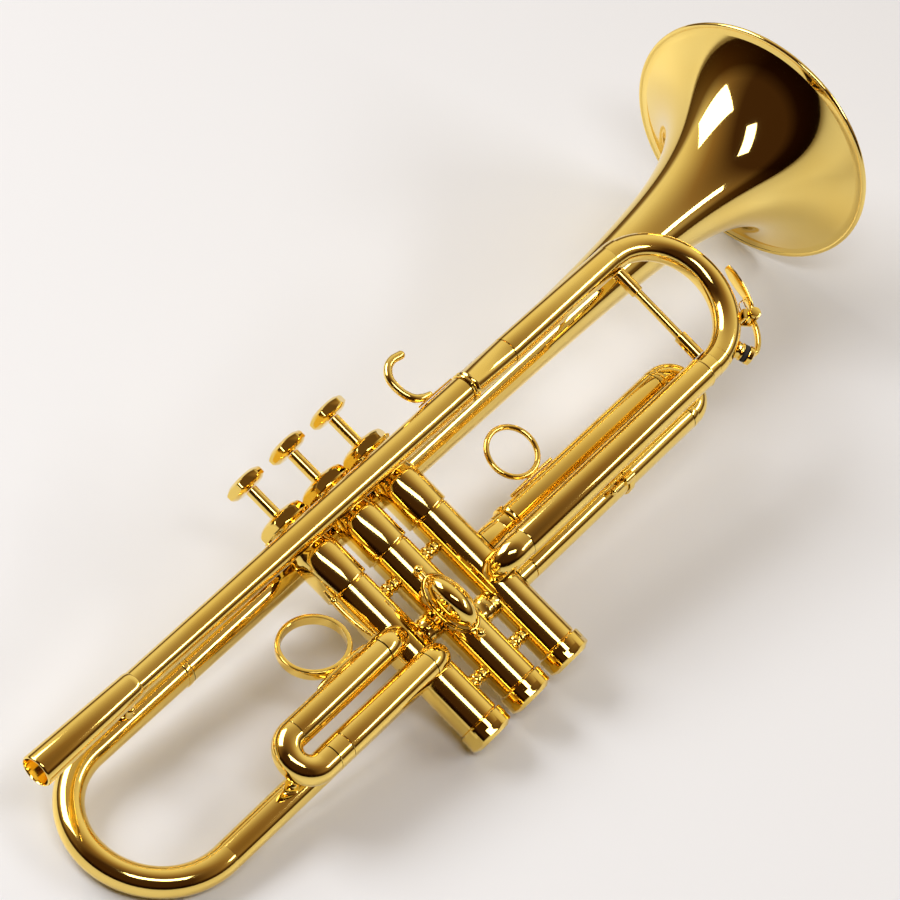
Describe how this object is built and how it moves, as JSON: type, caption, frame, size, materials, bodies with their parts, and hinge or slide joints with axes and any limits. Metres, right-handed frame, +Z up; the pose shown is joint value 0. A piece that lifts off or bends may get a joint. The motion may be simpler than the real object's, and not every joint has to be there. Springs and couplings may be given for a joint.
{
  "type": "trumpet",
  "caption": "Valved brass trumpet lying on its side: pistons with hexagonal buttons, sprung water key, and valve and tuning slides that pull out.",
  "frame": {"origin": "centre of the bounding box at its lowest level, on the surface the horn lies on", "axes": "+X along the horn towards the bell, +Z up from the surface, +Y towards the valve buttons"},
  "size_m": [0.4944, 0.1736, 0.1221],
  "materials": {
    "gold_plate": "mirror gold plate",
    "bell_gold_plate": "mirror gold plate",
    "polished_cap_gold": "mirror gold plate",
    "inner_nickel_silver": "ground nickel silver",
    "spring_steel": "drawn wire",
    "water_key_cork": "matt"
  },
  "bodies": {
    "body": {"valve_casing_1": "gold_plate", "top_cap_1": "polished_cap_gold", "bottom_cap_1": "polished_cap_gold", "valve_casing_2": "gold_plate", "top_cap_2": "polished_cap_gold", "bottom_cap_2": "polished_cap_gold", "valve_casing_3": "gold_plate", "top_cap_3": "polished_cap_gold", "bottom_cap_3": "polished_cap_gold", "valve_link_12": "gold_plate", "valve_link_23": "gold_plate", "casing_rod": "gold_plate", "mouthpiece_receiver": "gold_plate", "leadpipe": "gold_plate", "leadpipe_sleeve": "gold_plate", "pinky_hook": "gold_plate", "lower_slide_sleeve": "gold_plate", "lower_slide_elbow": "gold_plate", "third_inner_tube_upper": "gold_plate", "third_inner_tube_lower": "gold_plate", "first_knuckle_upper": "gold_plate", "first_elbow_lower": "gold_plate", "first_sleeve_lower": "gold_plate", "first_inner_tube_upper": "inner_nickel_silver", "second_sleeve_upper": "gold_plate", "second_sleeve_lower": "gold_plate", "bell": "bell_gold_plate", "bell_joint_ring": "gold_plate", "bell_bow": "gold_plate", "bell_bow_leg": "gold_plate", "bell_brace": "gold_plate", "bow_post": "gold_plate"},
    "valve_1": {"piston_1": "inner_nickel_silver", "valve_button_1": "polished_cap_gold", "valve_spring_1": "spring_steel"},
    "valve_2": {"piston_2": "inner_nickel_silver", "valve_button_2": "polished_cap_gold", "valve_spring_2": "spring_steel"},
    "valve_3": {"piston_3": "inner_nickel_silver", "valve_button_3": "polished_cap_gold", "valve_spring_3": "spring_steel"},
    "tuning_slide": {"tuning_upper_tube": "gold_plate", "tuning_lower_tube": "gold_plate", "tuning_bow": "gold_plate", "tuning_brace": "gold_plate", "water_nipple": "gold_plate", "water_key_saddle": "gold_plate", "water_key_screw": "polished_cap_gold"},
    "water_key": {"water_key_cork": "water_key_cork", "water_key_lever": "gold_plate"},
    "third_slide": {"third_outer_tube_upper": "gold_plate", "third_outer_tube_lower": "gold_plate", "third_bow": "gold_plate", "third_finger_ring": "gold_plate", "third_slide_stop": "gold_plate"},
    "first_slide": {"first_tube_upper": "gold_plate", "first_leg_lower": "gold_plate", "first_bow": "gold_plate", "first_thumb_ring": "gold_plate"},
    "second_slide": {"second_crook": "polished_cap_gold"}
  },
  "joints": [
    {"name": "valve_1_press", "type": "slide", "parent": "body", "child": "valve_1", "axis": [0.0341, -0.9441, -0.3279], "range_m": [0, 0.0135], "stiffness_N_per_m": 150, "springref_m": -0.015},
    {"name": "valve_2_press", "type": "slide", "parent": "body", "child": "valve_2", "axis": [0.0341, -0.9441, -0.3279], "range_m": [0, 0.0135], "stiffness_N_per_m": 150, "springref_m": -0.015},
    {"name": "valve_3_press", "type": "slide", "parent": "body", "child": "valve_3", "axis": [0.0341, -0.9441, -0.3279], "range_m": [0, 0.0135], "stiffness_N_per_m": 150, "springref_m": -0.015},
    {"name": "tuning_slide_pull", "type": "slide", "parent": "body", "child": "tuning_slide", "axis": [0.9946, 0, 0.1034], "range_m": [0, 0.03]},
    {"name": "water_key_open", "type": "hinge", "parent": "tuning_slide", "child": "water_key", "pos_m": [0.13844, -0.04216, 0.06459], "axis": [-0.0969, -0.3481, 0.9324], "range_deg": [0, 8], "stiffness_Nm_per_rad": 0.02, "springref_deg": -20.05},
    {"name": "third_slide_pull", "type": "slide", "parent": "body", "child": "third_slide", "axis": [0.9946, 0, 0.1034], "range_m": [0, 0.025]},
    {"name": "first_slide_pull", "type": "slide", "parent": "body", "child": "first_slide", "axis": [-0.9946, 0, -0.1034], "range_m": [0, 0.02]},
    {"name": "second_slide_pull", "type": "slide", "parent": "body", "child": "second_slide", "axis": [-0.4476, -0.3078, 0.8396], "range_m": [0, 0.004]}
  ]
}
